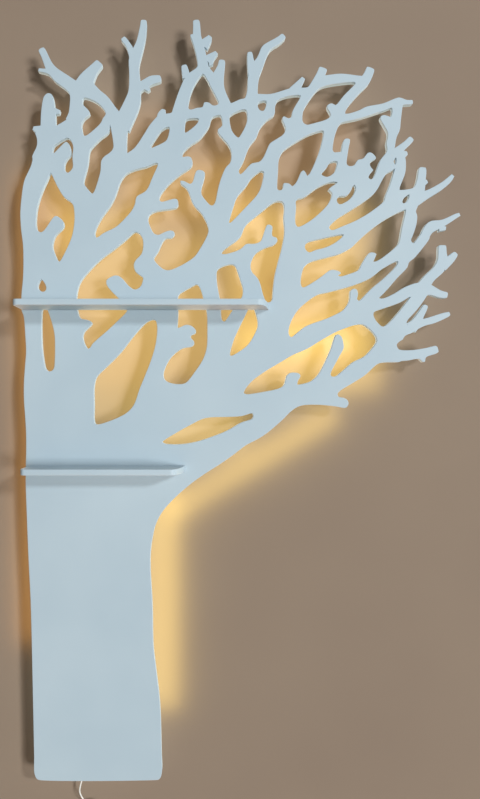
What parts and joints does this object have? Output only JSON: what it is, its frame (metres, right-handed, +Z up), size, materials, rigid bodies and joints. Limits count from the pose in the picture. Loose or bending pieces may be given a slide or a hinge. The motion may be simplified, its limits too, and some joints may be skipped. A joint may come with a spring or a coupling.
{
  "type": "tree wall shelf",
  "caption": "Flat tree-shaped panel with thin shelves, hung on hidden cleats and back-lit by LED bars, with a cord, rocker switch and plug-in adaptor",
  "frame": {"origin": "centre of the main wall cleat's back face, which is screwed flat to the wall", "axes": "+Z up, -Y out of the wall towards the room, +X to the right as seen from the room"},
  "size_m": [1.2255, 0.166, 2.3854],
  "materials": {
    "board_paint": "MDF in eggshell pale blue-grey paint",
    "timber": "sawn softwood",
    "steel": "zinc plated",
    "aluminium": "satin anodised",
    "led": "warm white emissive strip",
    "diffuser": "opal diffuser",
    "white_plastic": "satin moulded",
    "white_cord": "smooth white sheath",
    "grey_plastic": "satin moulded"
  },
  "bodies": {
    "wall": {"main_wall_cleat": "timber", "main_wall_screw_1": "steel", "main_wall_screw_2": "steel", "crown_wall_cleat": "timber", "crown_wall_screw_1": "steel"},
    "tree": {"tree_panel": "board_paint", "upper_shelf": "board_paint", "lower_shelf": "board_paint", "main_panel_cleat": "timber", "crown_panel_cleat": "timber", "light_box": "white_plastic", "light_box_lid": "white_plastic", "box_strain_relief": "white_plastic", "cord_lead_upper": "white_cord", "cord_lead_middle": "white_cord", "cord_lead_lower": "white_cord", "cord_coil": "white_cord", "coil_tie": "grey_plastic", "switch_bottom": "white_plastic", "switch_top": "white_plastic", "adaptor_strain_relief": "white_plastic", "adaptor_front": "white_plastic", "adaptor_back": "white_plastic", "adaptor_pin_1": "steel", "adaptor_pin_2": "steel", "upper_shelf_screw_1": "steel", "upper_shelf_screw_2": "steel", "upper_shelf_screw_3": "steel", "upper_shelf_screw_4": "steel", "lower_shelf_screw_1": "steel", "lower_shelf_screw_2": "steel", "lower_shelf_screw_3": "steel", "main_panel_screw_1": "steel", "main_panel_screw_2": "steel", "crown_panel_screw_1": "steel", "spacer_foot_left": "timber", "spacer_foot_right": "timber", "spacer_crown_left": "timber", "spacer_crown_top": "timber", "spacer_crown_middle": "timber", "spacer_crown_right": "timber", "light_channel_trunk": "aluminium", "led_strip_trunk": "led", "light_diffuser_trunk": "diffuser", "light_channel_left": "aluminium", "led_strip_left": "led", "light_diffuser_left": "diffuser", "light_channel_middle": "aluminium", "led_strip_middle": "led", "light_diffuser_middle": "diffuser", "light_channel_right": "aluminium", "led_strip_right": "led", "light_diffuser_right": "diffuser", "link_wire_1": "white_cord", "link_wire_2": "white_cord", "link_wire_3": "white_cord", "link_wire_4": "white_cord"},
    "rocker": {"switch_rocker": "grey_plastic"}
  },
  "joints": [
    {"name": "lift_off", "type": "slide", "parent": "wall", "child": "tree", "axis": [0, 0, 1], "range_m": [0, 0.05]},
    {"name": "rocker_tilt", "type": "hinge", "parent": "tree", "child": "rocker", "pos_m": [-0.089, -0.018, -0.96015], "axis": [1, 0, 0], "range_deg": [0, 16]}
  ]
}
